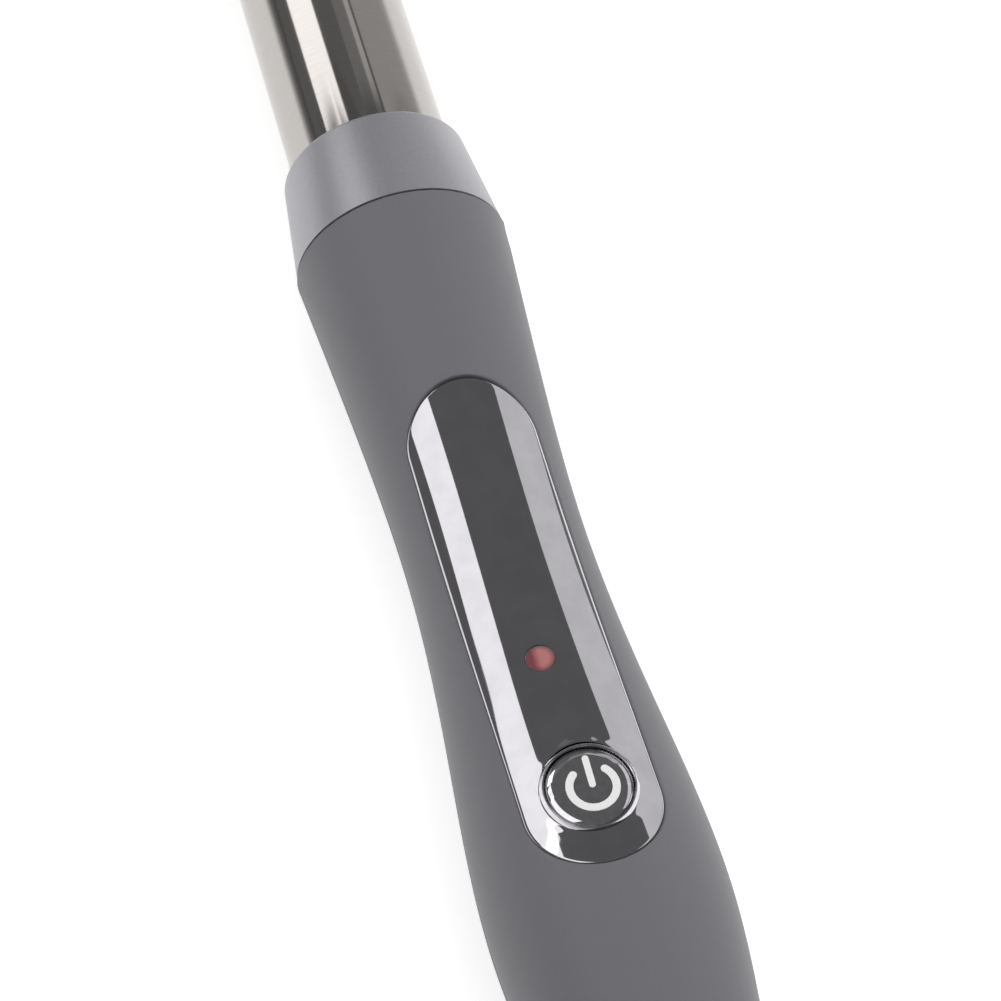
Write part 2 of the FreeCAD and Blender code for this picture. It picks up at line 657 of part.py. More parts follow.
def components():
    """What the board carries: its underside holds the mains parts, its face the control chip."""
    under = "board_top - board_thick - 0.1"
    body = box("triac_case", (-5, -62, f"{under} - 4.4"), (5, -53, under))
    tab = box("triac_tab", (-5, -53, f"{under} - 1.3"), (5, -48.5, under))
    node(fused("triac", [body, tab]))
    node(box("film_capacitor", (-7, -84, f"{under} - 8"), (-1, -69, under)))
    can = rod("capacitor_can", 3.7, -83, -70, x=3.4, z=f"{under} - 3.8")
    groove = cut("capacitor_groove", rod("groove_out", 4, -73.2, -72.4, x=3.4, z=f"{under} - 3.8"),
                 rod("groove_in", 3.45, -74, -71, x=3.4, z=f"{under} - 3.8"))
    node(cut("electrolytic_capacitor", can, groove))
    node(rod("surge_suppressor", 4.2, -99.5, -96.2, z=f"{under} - 4.4"))
    chip = box("chip_case", (-1.95, -64, "board_top + 0.15"), (1.95, -59, "board_top + 1.7"))
    legs = [box(f"chip_leg_{i}", (-2.9, -63.6 + 1.27 * i, "board_top + 0.1"),
                (2.9, -63.2 + 1.27 * i, "board_top + 0.35")) for i in range(4)]
    node(fused("control_chip", [chip] + legs))
    node(group("resistors", [rod(f"resistor_{i}", 0.95, -94.5, -88.5, x=x, z=f"{under} - 1.1")
                             for i, x in enumerate((-1.3, 1.3))]))
    node(rod("board_fuse", 1.9, -67.5, -63.2, x=3.5, z=f"{under} - 2.2"))


def lead(points, radius):
    """A wire: a round section swept along straight runs joined by tangent arcs."""
    spots = [V(*(number(c) for c in p)) for p in points]
    edges, start = [], spots[0]
    for before, corner, after in zip(spots, spots[1:], spots[2:]):
        into, out = (corner - before).normalize(), (after - corner).normalize()
        half = into.getAngle(out) / 2
        run = 0.45 * min((corner - before).Length, (after - corner).Length)
        bend = run / math.tan(half)
        first, last = corner - into * run, corner + out * run
        toward = (out - into).normalize()
        middle = corner + toward * (bend / math.cos(half) - bend)
        edges += [Part.LineSegment(start, first).toShape(), Part.Arc(first, middle, last).toShape()]
        start = last
    edges.append(Part.LineSegment(start, spots[-1]).toShape())
    along = spots[1] - spots[0]
    section = Part.Wire(Part.Circle(spots[0], along, radius).toShape())
    return Part.Wire(edges).makePipeShell([section], True, False)


def leads():
    """Wires between board, heater, sensor and swivel; each node is a pair."""
    level = "board_top - board_thick - 1"
    routes = {
        "heater_leads": (0.8, [(4.4, -41.5, level), (4.6, -28, level), (5.2, 10, -0.2),
                               (5.2, "heater_back - 7", 0)]),
        "thermistor_leads": (0.45, [(2.0, -42, "board_top - board_thick - 0.6"), (2.6, -34.5, 4.2),
                                    (4.8, -26, 6.6), (2.4, -8, 6.5), (0.5, "heater_back - 14", 6.5),
                                    (0.5, "heater_back + 4.9", 6.5)]),
        "supply_leads": (0.9, [(5.4, -131.7, 0.5), (5.6, -121, 1.6), (5.6, -101, level)]),
    }
    for name, (radius, points) in routes.items():
        pair = doc.addObject("Part::Feature", name)
        mirrored = [(f"-({x})", y, z) for x, y, z in points]
        pair.Shape = Part.Compound([lead(points, radius), lead(mirrored, radius)])
        node(pair)
    sleeves = []
    for side in (-1, 1):
        name = "left" if side < 0 else "right"
        sleeves.append(rod(f"{name}_crimp", 1.5, "heater_back - 6.95", "heater_back + 1.9",
                           x=5.2 * side, z=0))
    node(group("crimp_sleeves", sleeves))


# ---- cord swivel -------------------------------------------------------------------------------

def swivel():
    """The turning cord outlet: slip rings on a hollow spindle, brushes in a fixed holder."""
    spindle = turned("swivel_spindle", [
        ("cord_bore", "swivel_front"), ("neck_of_swivel", "swivel_front"),
        ("neck_of_swivel", "cap_front + 9"), (8.6, "cap_front + 9"), (8.6, "cap_front + 7"),
        ("swivel_radius", "cap_front + 7"), ("swivel_radius", "cap_back - 3"),
        ("swivel_radius - 1.2", "swivel_back"), ("cord_bore", "swivel_back")])
    soften(spindle, 1.2, [("swivel_radius - 1.2", "swivel_back")])
    node(spindle)
    rings = []
    for i, start in enumerate((-139.4, -136.4)):
        rings.append(turned(f"slip_ring_{i}", [
            ("neck_of_swivel + 0.02", start), ("neck_of_swivel + ring_thick", start),
            ("neck_of_swivel + ring_thick", start + 1.8), ("neck_of_swivel + 0.02", start + 1.8)]))
    node(group("contact_rings", rings))
    node(turned("swivel_washer", [
        ("swivel_radius + 0.1", "cap_front + 6.15"), (8.6, "cap_front + 6.15"),
        (8.6, "cap_front + 6.85"), ("swivel_radius + 0.1", "cap_front + 6.85")]))
    node(turned("brush_holder", [
        (7.4, -140.5), (9.0, -140.5), (9.0, -131.8), (3.5, -131.8), (3.5, -132.7), (7.4, -132.7)]))
    brushes = []
    for i, start in enumerate((-139.4, -136.4)):
        side = 1 if i else -1
        name = "upper_brush" if i else "lower_brush"
        near, far = sorted((side * 6.0, side * 6.35))
        brushes.append(box(name, (-2.8, start + 0.2, near), (2.8, start + 1.6, far)))
    node(group("contact_brushes", brushes))


# ---- build, check and write --------------------------------------------------------------------

for make in (barrel_tube, cool_tip, tip_insulator, heater_blocks, heater_sandwich, sensors,
             barrel_holder, barrel_screws, collar, seam_ring):
    make()
shell("handle_front_shell", True)
shell("handle_rear_shell", False)
for make in (handle_screws, end_cap, panel_plate, panel_carrier, indicator, button_parts,
             circuit_board, tact_switch, components, leads, swivel):
    make()
doc.recompute()

for thing in doc.Objects:
    if "Invalid" in thing.State or "Error" in thing.State:
        raise ValueError(f"{thing.Label} failed: {thing.State}")
os.makedirs("parts", exist_ok=True)
for thing in NODES:
    shape = thing.Shape
    if shape.isNull() or not shape.isValid() or not shape.Solids:
        raise ValueError(f"{thing.Label} has no valid solid")
    shape.exportStep(f"parts/{thing.Label}.step")
    print(f"{thing.Label:24s} {len(shape.Solids)} solids {shape.Volume:9.1f} mm3")
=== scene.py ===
# %% [markdown]
# # A curling wand
# A wand for curling hair is a stack of turned parts on one axis: a polished barrel, a satin collar
# and a waisted handle. The CAD frame already holds every part at its real size. This lesson keeps
# that frame and gives it looks: smooth skins where the eye reads a reflection, and a finish for
# every piece. The wand lies on its back with the control panel facing up and the tip along +Y.

# %% Load the frame
import json
import math

import bmesh
import bpy
import numpy as np
from mathutils import Matrix, Vector


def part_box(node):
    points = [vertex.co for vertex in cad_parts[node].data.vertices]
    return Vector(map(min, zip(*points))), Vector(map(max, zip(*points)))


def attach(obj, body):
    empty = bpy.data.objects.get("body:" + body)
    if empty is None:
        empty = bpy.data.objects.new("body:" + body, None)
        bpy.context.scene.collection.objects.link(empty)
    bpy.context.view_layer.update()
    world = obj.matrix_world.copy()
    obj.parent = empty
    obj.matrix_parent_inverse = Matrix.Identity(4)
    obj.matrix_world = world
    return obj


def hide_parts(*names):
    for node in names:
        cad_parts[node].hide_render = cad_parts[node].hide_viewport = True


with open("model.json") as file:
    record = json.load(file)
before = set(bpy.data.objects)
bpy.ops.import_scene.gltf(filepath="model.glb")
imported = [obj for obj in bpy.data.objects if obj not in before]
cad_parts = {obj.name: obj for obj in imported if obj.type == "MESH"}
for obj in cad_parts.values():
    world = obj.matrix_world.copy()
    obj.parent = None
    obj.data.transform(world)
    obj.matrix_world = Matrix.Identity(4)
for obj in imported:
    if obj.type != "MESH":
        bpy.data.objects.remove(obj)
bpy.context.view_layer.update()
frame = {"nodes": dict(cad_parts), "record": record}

MM = 0.001
seam_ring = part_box("seam_ring")
SEAM = seam_ring[1].y + 0.02 * MM          # where handle and collar meet
AXIS = (seam_ring[0].z + seam_ring[1].z) / 2   # height of the wand's axis
print("seam at y", round(SEAM / MM, 2), "axis at z", round(AXIS / MM, 2))


# %% [markdown]
# ## Small helpers
# Colours are written as the hex values a designer reads off a screen, so one function turns them
# into the linear values a shader needs. A second adds one node with its settings and links. A third
# makes a material with its Principled shader, whose plain values are set on the shader's own sockets.

# %% Colour, node and material helpers
def linear(hex_colour):
    """The linear colour of an sRGB hex value."""
    channels = [int(hex_colour[i:i + 2], 16) / 255 for i in (1, 3, 5)]
    curve = [c / 12.92 if c <= 0.04045 else ((c + 0.055) / 1.055) ** 2.4 for c in channels]
    return (*curve, 1.0)


def add(tree, kind, links=None, **settings):
    """Adds a node; settings are its properties, or its inputs' values by name or number."""
    made = tree.nodes.new(kind)
    inputs = settings.pop("inputs", {})
    for name, value in settings.items():
        setattr(made, name, value)
    for name, value in inputs.items():
        made.inputs[name].default_value = value
    for name, source in (links or {}).items():
        tree.links.new(source, made.inputs[name])
    return made


def finish_of(name, colour, roughness, metallic=0.0, ior=1.5, **sockets):
    """A material with one Principled shader, and the names of its sockets given as words."""
    material = bpy.data.materials.new(name)
    material.use_nodes = True
    shader = material.node_tree.nodes["Principled BSDF"]
    values = {"Base Color": linear(colour), "Roughness": roughness, "Metallic": metallic, "IOR": ior}
    values.update({key.replace("_", " "): value for key, value in sockets.items()})
    for key, value in values.items():
        shader.inputs[key].default_value = value
    return material, material.node_tree, shader


def grain(tree, shader, size_mm, height_mm, stretch=(1, 1, 1), detail=2.0):
    """Fine relief of a real size: a noise in object space that drives a bump."""
    place = add(tree, "ShaderNodeTexCoord")
    scale = add(tree, "ShaderNodeMapping", {"Vector": place.outputs["Object"]})
    scale.inputs["Scale"].default_value = [1 / (size_mm * MM * s) for s in stretch]
    noise = add(tree, "ShaderNodeTexNoise", {"Vector": scale.outputs["Vector"]},
                inputs={"Scale": 1.0, "Detail": detail, "Roughness": 0.6})
    bump = add(tree, "ShaderNodeBump", {"Height": noise.outputs["Fac"]},
               inputs={"Strength": 1.0, "Distance": height_mm * MM})
    tree.links.new(bump.outputs["Normal"], shader.inputs["Normal"])
    return noise


def tint(tree, shader, noise, first, second):
    """Lets the colour wander a little between two near shades."""
    ramp = add(tree, "ShaderNodeValToRGB", {"Fac": noise.outputs["Fac"]})
    ramp.color_ramp.elements[0].position = 0.35
    ramp.color_ramp.elements[1].position = 0.65
    ramp.color_ramp.elements[0].color = linear(first)
    ramp.color_ramp.elements[1].color = linear(second)
    tree.links.new(ramp.outputs["Color"], shader.inputs["Base Color"])


# %% [markdown]
# ## The outline of the handle
# The handle is a body of revolution. Its outline is one smooth curve through eight radii, so the
# same rule is used here: a natural cubic spline, which has no corner and no sudden change of
# bend. The printed gap to the CAD shell shows how well the rule follows it.

# %% The outline as a rule
STATIONS = np.array([-150, -132, -113, -100, -80, -55, -30, -0.4])
RADII = np.array([12.0, 14.68, 16.57, 16.25, 14.49, 13.22, 14.22, 16.45])


def bends(stations, radii):
    """Second derivatives of the natural cubic spline at its points."""
    gaps = np.diff(stations)
    slopes = np.diff(radii) / gaps
    system = np.eye(len(stations))
    right = np.zeros(len(stations))
    for i in range(1, len(stations) - 1):
        system[i, i - 1:i + 2] = gaps[i - 1], 2 * (gaps[i - 1] + gaps[i]), gaps[i]
        right[i] = 6 * (slopes[i] - slopes[i - 1])
    return np.linalg.solve(system, right)


BENDS = bends(STATIONS, RADII)


def radius_at(station):
    """The handle's radius at a station, in millimetres."""
    i = int(np.clip(np.searchsorted(STATIONS, station) - 1, 0, len(STATIONS) - 2))
    gap = STATIONS[i + 1] - STATIONS[i]
    a, b = (STATIONS[i + 1] - station) / gap, (station - STATIONS[i]) / gap
    curve = (a ** 3 - a) * BENDS[i] + (b ** 3 - b) * BENDS[i + 1]
    return a * RADII[i] + b * RADII[i + 1] + curve * gap ** 2 / 6


def slope_at(station):
    """How fast the radius changes along the handle."""
    return (radius_at(station + 0.05) - radius_at(station - 0.05)) / 0.1


def on_handle(angle, station, depth=0.0):
    """A point of the handle's skin: angle from the top, about the axis, and depth under the skin."""
    slope = slope_at(station)
    tilt = math.hypot(1, slope)
    radius = radius_at(station) - depth / tilt
    along = station + depth * slope / tilt
    x, z = radius * math.sin(angle), radius * math.cos(angle)
    return Vector((x * MM, SEAM + along * MM, AXIS + z * MM))


SKIN_BAND = 0.5        # points further from the rule than this belong to the inner wall
worst = 0.0
for vertex in list(frame["nodes"]["handle_rear_shell"].data.vertices)[::40]:
    x, y, z = vertex.co
    gap = abs(math.hypot(x, z - AXIS) / MM - radius_at((y - SEAM) / MM))
    if gap < SKIN_BAND:
        worst = max(worst, gap)
print("largest gap between rule and CAD shell, mm:", round(worst, 3))


# %% [markdown]
# ## Sheets with a thickness
# Shells and plates are thin walls. Each is made as two grids of points, an outer and an inner one,
# sewn together along their borders. A grid may close on itself, which gives a wall with a window
# in it, such as the front of the handle, a closed surface and no seam.

# %% Build a wall from two grids
def wall(name, outer, inner, closed):
    """A closed mesh from two grids of points of the same shape, with outward faces."""
    rows, columns = len(outer), len(outer[0])
    points = [p for row in outer for p in row] + [p for row in inner for p in row]
    shift = rows * columns
    faces = []
    for i in range(rows if closed else rows - 1):
        j = (i + 1) % rows
        for k in range(columns - 1):
            a, b, c, d = i * columns + k, j * columns + k, j * columns + k + 1, i * columns + k + 1
            faces.append((a, b, c, d))
            faces.append((a + shift, d + shift, c + shift, b + shift))
        first, last = (i * columns, j * columns), (i * columns + columns - 1, j * columns + columns - 1)
        faces.append((first[0], first[0] + shift, first[1] + shift, first[1]))
        faces.append((last[0], last[1], last[1] + shift, last[0] + shift))
    if not closed:
        for k in range(columns - 1):
            end = (rows - 1) * columns
            faces.append((k, k + 1, k + 1 + shift, k + shift))
            faces.append((end + k, end + k + shift, end + k + 1 + shift, end + k + 1))
    return solid(name, points, faces)


def solid(name, points, faces, sharp=40):
    """A mesh object with normals turned outwards and edges sharper than an angle kept crisp."""
    mesh = bpy.data.meshes.new(name)
    mesh.from_pydata([tuple(p) for p in points], [], faces)
    work = bmesh.new()
    work.from_mesh(mesh)
    bmesh.ops.remove_doubles(work, verts=work.verts, dist=1e-7)
    bmesh.ops.recalc_face_normals(work, faces=work.faces)
    work.to_mesh(mesh)
    work.free()
    mesh.shade_smooth()
    mesh.set_sharp_from_angle(angle=math.radians(sharp))
    made = bpy.data.objects.new(name, mesh)
    bpy.context.scene.collection.objects.link(made)
    print(f"{name}: {len(mesh.vertices)} points, {len(mesh.polygons)} faces")
    return made


def settle(piece, material, body, slot, *nodes):
    """Gives a finished piece its material and its body, and hides the CAD nodes it stands for. The slot
    is not used.
    """
    piece.data.materials.clear()
    piece.data.materials.append(material)
    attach(piece, body)
    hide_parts(*nodes)


# %% [markdown]
# ## The front shell
# The front half of the handle has a stadium-shaped window for the panel. A Boolean could cut it, but
# it would leave long thin faces just where the light catches the edge. So rays run from the
# window's edge to the shell's border, and the surface is laid along them. The last quarter
# millimetre at the window is rolled over, as a mould leaves it.

# %% Lay the front shell
SHELL = 2.0                # wall thickness
PART_LINE = 0.12           # depth of the dip along the border
WINDOW = 9.53              # half the window's width
WINDOW_ROLL = 0.28
RAY_STEPS = 44
ROLL_STEPS = 5
MEAN_RADIUS = 15.0         # unrolls an angle to a length
LEAST_RADIUS = 12.0
TOP_CENTRE = -41.7
LOW_CENTRE = -101.25
FRONT_END = -0.4
BACK_END = -150.0


def stadium(half_width, side_steps, arc_steps):
    """Points of a stadium as (x, station, corner centre, direction), anticlockwise from the right."""
    points = []
    for i in range(side_steps):
        station = LOW_CENTRE + (TOP_CENTRE - LOW_CENTRE) * i / side_steps
        points.append((half_width, station, station, 0.0))
    for i in range(arc_steps):
        turn = math.pi * i / arc_steps
        x, rise = half_width * math.cos(turn), half_width * math.sin(turn)
        points.append((x, TOP_CENTRE + rise, TOP_CENTRE, turn))
    for i in range(side_steps):
        station = TOP_CENTRE + (LOW_CENTRE - TOP_CENTRE) * i / side_steps
        points.append((-half_width, station, station, math.pi))
    for i in range(arc_steps):
        turn = math.pi * (1 + i / arc_steps)
        x, rise = half_width * math.cos(turn), half_width * math.sin(turn)
        points.append((x, LOW_CENTRE + rise, LOW_CENTRE, turn))
    return points


def border(centre, turn):
    """Where a ray from a centre of the window meets the border of the unrolled front shell."""
    half = MEAN_RADIUS * math.pi / 2
    c, d = math.cos(turn), math.sin(turn)
    end = FRONT_END if d > 0 else BACK_END
    side = half / abs(c) if abs(c) > 1e-9 else math.inf
    tip = (end - centre) / d if abs(d) > 1e-9 else math.inf
    if side <= tip:
        return math.copysign(math.pi / 2, c), centre + side * d
    return c * tip / MEAN_RADIUS, end


def snap_corners(ends):
    """Moves the ray end nearest to each corner of the border onto it."""
    for angle in (-math.pi / 2, math.pi / 2):
        for station in (FRONT_END, BACK_END):
            gaps = [math.hypot((a - angle) * MEAN_RADIUS, s - station) for a, s in ends]
            ends[gaps.index(min(gaps))] = (angle, station)
    return ends


def front_shell():
    """The front shell: rays from its border to the window, then over the window's rolled edge."""
    rim = stadium(WINDOW + WINDOW_ROLL, 60, 56)
    ends = snap_corners([border(centre, turn) for _, _, centre, turn in rim])
    outer, inner = [], []
    for (x, station, _, turn), (edge_angle, edge_station) in zip(rim, ends):
        inset_station = min(max(edge_station, BACK_END + PART_LINE), FRONT_END - PART_LINE)
        top = [on_handle(edge_angle, edge_station, PART_LINE),
               on_handle(edge_angle * (1 - PART_LINE / LEAST_RADIUS), inset_station)]
        under = [on_handle(edge_angle, edge_station, SHELL)] * 2
        window_angle = math.asin(x / radius_at(station))
        for i in range(1, RAY_STEPS + 1):
            angle = edge_angle + (window_angle - edge_angle) * i / RAY_STEPS
            along = edge_station + (station - edge_station) * i / RAY_STEPS
            top.append(on_handle(angle, along))
            under.append(on_handle(angle, along, SHELL))
        for i in range(1, ROLL_STEPS + 1):
            bend = math.pi / 2 * i / ROLL_STEPS
            inward = WINDOW_ROLL * math.sin(bend)
            nx, ns = x - inward * math.cos(turn), station - inward * math.sin(turn)
            angle = math.asin(nx / radius_at(ns))
            top.append(on_handle(angle, ns, WINDOW_ROLL * (1 - math.cos(bend))))
            under.append(on_handle(angle, ns, SHELL))
        outer.append(top)
        inner.append(under)
    return wall("handle_front", outer, inner, closed=True)


handle_front = front_shell()


# %% [markdown]
# ## The soft-touch handle
# The real handle is moulded ABS under a soft-touch lacquer: a matt, slightly velvety grey that
# turns paler where the eye grazes it. A rough Principled surface with a little sheen does that,
# and a fine grain of about a tenth of a millimetre breaks up the highlights.

# %% Soft-touch lacquer
# matt, with no clear highlight, and a pale bloom where the surface turns away
soft_touch, soft_tree, soft_shader = finish_of(
    "soft_touch_lacquer", "#6A696D", 0.55, ior=1.45, Sheen_Weight=0.12, Sheen_Roughness=0.4)
soft_noise = grain(soft_tree, soft_shader, 0.16, 0.006)
tint(soft_tree, soft_shader, soft_noise, "#68676C", "#6C6B6F")
settle(handle_front, soft_touch, "wand", "soft_touch_grey", "handle_front_shell")


# %% [markdown]
# ## The rear shell
# The rear half is a plain half-turned wall. Its border dips a tenth of a millimetre, and where it
# meets the front shell's dipped border, the two make the fine parting line of a moulded handle.
# Two round recesses for the screws are cut with a Boolean, the quickest way to make a hole in a
# matt wall where no mirror shows the cut.

# %% Lay the rear shell and cut its recesses
SCREWS = {-25.5: 14.1, -125: 15.1}     # station of each screw: depth of its plug's face under the axis
RECESS_RADIUS = 3.0
REAR_ROWS = 150
REAR_TURNS = 110


def rear_shell():
    """The rear shell: a half-turned wall whose border dips at the parting line."""
    inside = np.linspace(FRONT_END - PART_LINE, BACK_END + PART_LINE, REAR_ROWS)
    stations = [FRONT_END, *inside, BACK_END]
    fine = math.radians(0.5)
    inside = np.linspace(math.pi / 2 + fine, 1.5 * math.pi - fine, REAR_TURNS)
    angles = [math.pi / 2, *inside, 1.5 * math.pi]
    outer, inner = [], []
    for angle in angles:
        at_side = angle in (angles[0], angles[-1])
        outer.append([on_handle(angle, s, PART_LINE if at_side or s in (FRONT_END, BACK_END) else 0)
                      for s in stations])
        inner.append([on_handle(angle, s, SHELL) for s in stations])
    return wall("handle_rear", outer, inner, closed=False)


def cut_round(piece, x, station, radius, low, high):
    """Cuts an upright round hole through a piece, between two heights over the axis."""
    cutter = bmesh.new()
    bmesh.ops.create_cone(cutter, cap_ends=True, segments=96, radius1=radius * MM, radius2=radius * MM,
                          depth=(high - low) * MM)
    mesh = bpy.data.meshes.new("cutter")
    cutter.to_mesh(mesh)
    cutter.free()
    mesh.transform(Matrix.Translation((x * MM, SEAM + station * MM, AXIS + (low + high) / 2 * MM)))
    tool = bpy.data.objects.new("cutter", mesh)
    bpy.context.scene.collection.objects.link(tool)
    hole = piece.modifiers.new("hole", "BOOLEAN")
    hole.object = tool
    hole.solver = "EXACT"
    graph = bpy.context.evaluated_depsgraph_get()
    piece.data = bpy.data.meshes.new_from_object(piece.evaluated_get(graph))
    piece.modifiers.clear()
    bpy.data.objects.remove(tool)
    piece.data.shade_smooth()
    piece.data.set_sharp_from_angle(angle=math.radians(40))
    print(f"{piece.name}: hole of radius {radius} mm, now {len(piece.data.polygons)} faces")


handle_rear = rear_shell()
for station in SCREWS:
    cut_round(handle_rear, 0, station, RECESS_RADIUS, low=-20, high=-9)
settle(handle_rear, soft_touch, "wand", "soft_touch_grey", "handle_rear_shell")


# %% [markdown]
# ## The mirror panel
# The panel is a thin plate, plated a smoky chrome. It is crowned across, a little flatter than the
# handle, and its rim rolls over like a pillow's. The eye reads every ripple in a mirror, so the
# surface is a formula of its place, and the grid is fine near the button's hole and the rim.

# %% The panel's surface
BUTTON = -99.5             # station of the button
BUTTON_HEIGHT = 15.9       # its face, over the axis
BUTTON_TILT = math.radians(3.3)
DROP = 0.5                 # the panel lies this far under the handle's outline
CROWN = 2.4                # and is crowned on a radius this much larger
PLATE_EDGE = WINDOW - 0.16
BUTTON_HOLE = 6.6          # radius of the button's hole
RIDGE = 0.06               # swell of the panel round the hole, and its width
RIDGE_WIDTH = 0.7
LENS_X = -0.78
LENS_STATION = -78.9
LENS_RADIUS = 2.05


def plate_height(x, station):
    """Height of the panel over the axis: crowned, and drawn up a little round the button's ring."""
    crown = math.sqrt((radius_at(station) - DROP + CROWN) ** 2 - x * x) - CROWN
    near = math.exp(-((math.hypot(x, station - BUTTON) - BUTTON_HOLE) / RIDGE_WIDTH) ** 2)
    return crown + RIDGE * near


def on_plate(x, station, depth=0.0):
    """A point of the panel, and depth under its skin."""
    return Vector((x * MM, SEAM + station * MM, AXIS + (plate_height(x, station) - depth) * MM))


def mirror_plate():
    """The panel: rays from the button's hole to the rim, then over the rim's roll."""
    roll, sink, thick = 0.35, 0.3, 1.5
    side_steps, arc_steps = 90, 70
    hole_steps, ray_steps, roll_steps = 20, 90, 12
    hole_zone = 1.6          # width of the fine rows beside the hole
    rim = stadium(PLATE_EDGE, side_steps, arc_steps)
    lengths = [0.0]
    for (x0, s0, _, _), (x1, s1, _, _) in zip(rim, rim[1:] + rim[:1]):
        lengths.append(lengths[-1] + math.hypot(x1 - x0, s1 - s0))
    start = -lengths[side_steps + arc_steps // 2] / lengths[-1]   # the plate's top faces the hole's top
    outer, inner = [], []
    for (x, station, centre, turn), length in zip(rim, lengths):
        around = math.pi / 2 + 2 * math.pi * (length / lengths[-1] + start)
        hx, hs = BUTTON_HOLE * math.cos(around), BUTTON + BUTTON_HOLE * math.sin(around)
        bx, bs = x - roll * math.cos(turn), station - roll * math.sin(turn)
        near = min(hole_zone / math.hypot(bx - hx, bs - hs), 0.5)
        shares = [near * i / hole_steps for i in range(hole_steps)]
        shares += [near + (1 - near) * i / ray_steps for i in range(ray_steps + 1)]
        spots = [(hx + (bx - hx) * f, hs + (bs - hs) * f, 0.0) for f in shares]
        for i in range(1, roll_steps + 1):
            bend = math.pi / 2 * i / roll_steps
            out = roll * math.sin(bend)
            spots.append((bx + out * math.cos(turn), bs + out * math.sin(turn),
                          sink * (1 - math.cos(bend))))
        outer.append([on_plate(*spot) for spot in spots])
        inner.append([on_plate(px, ps, thick) for px, ps, _ in spots])
    return wall("panel_mirror", outer, inner, closed=True)


panel_mirror = mirror_plate()
cut_round(panel_mirror, LENS_X, LENS_STATION, LENS_RADIUS + 0.03, low=5, high=20)


# %% [markdown]
# ## Smoked chrome
# The plate is ABS plastic with a vacuum-plated dark chrome. A metal shader at very low roughness
# gives the mirror, a grey base colour gives the smoke, and a swell of a few millimetres that is
# far too shallow to see by itself makes the reflections waver slightly, as plated plastic does.

# %% The two chrome platings
# a clear, slightly smoky mirror
dark_chrome, chrome_tree, chrome_shader = finish_of("smoked_chrome_plating", "#C4C2C6", 0.04, 1.0)
chrome_noise = grain(chrome_tree, chrome_shader, 4.0, 0.0006)
tint(chrome_tree, chrome_shader, chrome_noise, "#BFBDC1", "#C6C4C8")
# a paler mirror, so that the ring and the cap stand out from the panel
bright_chrome, bright_tree, bright_shader = finish_of("bright_chrome_plating", "#D2D0D4", 0.05, 1.0)
bright_noise = grain(bright_tree, bright_shader, 0.9, 0.0004)
tint(bright_tree, bright_shader, bright_noise, "#CAC8CC", "#D6D4D8")
settle(panel_mirror, dark_chrome, "wand", "dark_chrome", "panel_plate")


# %% [markdown]
# ## Turned parts
# Barrel, tip, collar, end cap, swivel and the button's rings are all turned: one outline swept
# once round an axis. Spin or the Screw modifier could do it, one piece at a time. One node tree does
# it for all of them, with the number of steps and the finish as inputs. It sweeps the outline along
# a circle so small that it is only a direction, which spins the outline about its own axis.

# %% A lathe in Geometry Nodes
def lathe_tree():
    """The lathe's node tree, and the identifiers of its two inputs."""
    tree = bpy.data.node_groups.new("lathe", "GeometryNodeTree")
    tree.interface.new_socket("Geometry", in_out="INPUT", socket_type="NodeSocketGeometry")
    steps = tree.interface.new_socket("Steps Round", in_out="INPUT", socket_type="NodeSocketInt")
    finish = tree.interface.new_socket("Finish", in_out="INPUT", socket_type="NodeSocketMaterial")
    tree.interface.new_socket("Geometry", in_out="OUTPUT", socket_type="NodeSocketGeometry")
    entry = add(tree, "NodeGroupInput")
    path = add(tree, "GeometryNodeCurvePrimitiveCircle", {"Resolution": entry.outputs["Steps Round"]},
               inputs={"Radius": 1e-7})
    sweep = add(tree, "GeometryNodeCurveToMesh",
                {"Curve": path.outputs["Curve"], "Profile Curve": entry.outputs["Geometry"]})
    merge = add(tree, "GeometryNodeMergeByDistance", {"Geometry": sweep.outputs["Mesh"]},
                inputs={"Distance": 1e-6})
    real = add(tree, "GeometryNodeRealizeInstances", {"Geometry": merge.outputs["Geometry"]})
    paint = add(tree, "GeometryNodeSetMaterial",
                {"Geometry": real.outputs["Geometry"], "Material": entry.outputs["Finish"]})
    add(tree, "NodeGroupOutput", {"Geometry": paint.outputs["Geometry"]})
    return tree, steps.identifier, finish.identifier


LATHE, STEPS_ROUND, FINISH = lathe_tree()
along_wand = Matrix.Translation((0, SEAM, AXIS)) @ Matrix.Rotation(-math.pi / 2, 4, "X")
print("lathe inputs:", STEPS_ROUND, FINISH)


# %% [markdown]
# ## Outlines with rolled corners
# No moulded or machined edge is truly sharp, and the small roll on it catches the light. So an
# outline is given as corners of (radius, height, roll), and each roll becomes a short arc that is
# tangent to both of its sides.

# %% Roll the corners and turn the outline
ROLL_DEGREES = 5           # turn of each step of a rolled corner


def rounded(corners):
    """An outline with its corners rolled: each corner is (radius, height, roll)."""
    outline = []
    for i, (r, h, roll) in enumerate(corners):
        here = Vector((r, h))
        if roll == 0:
            outline.append(here)
            continue
        before = (Vector(corners[i - 1][:2]) - here).normalized()
        after = (Vector(corners[(i + 1) % len(corners)][:2]) - here).normalized()
        half = before.angle(after) / 2
        middle = here + (before + after).normalized() * (roll / math.sin(half))
        start = here + before * (roll / math.tan(half)) - middle
        end = here + after * (roll / math.tan(half)) - middle
        turn = start.angle_signed(end)
        steps = max(3, int(abs(math.degrees(turn)) / ROLL_DEGREES))
        outline += [middle + Matrix.Rotation(-turn * k / steps, 2) @ start for k in range(steps + 1)]
    return outline


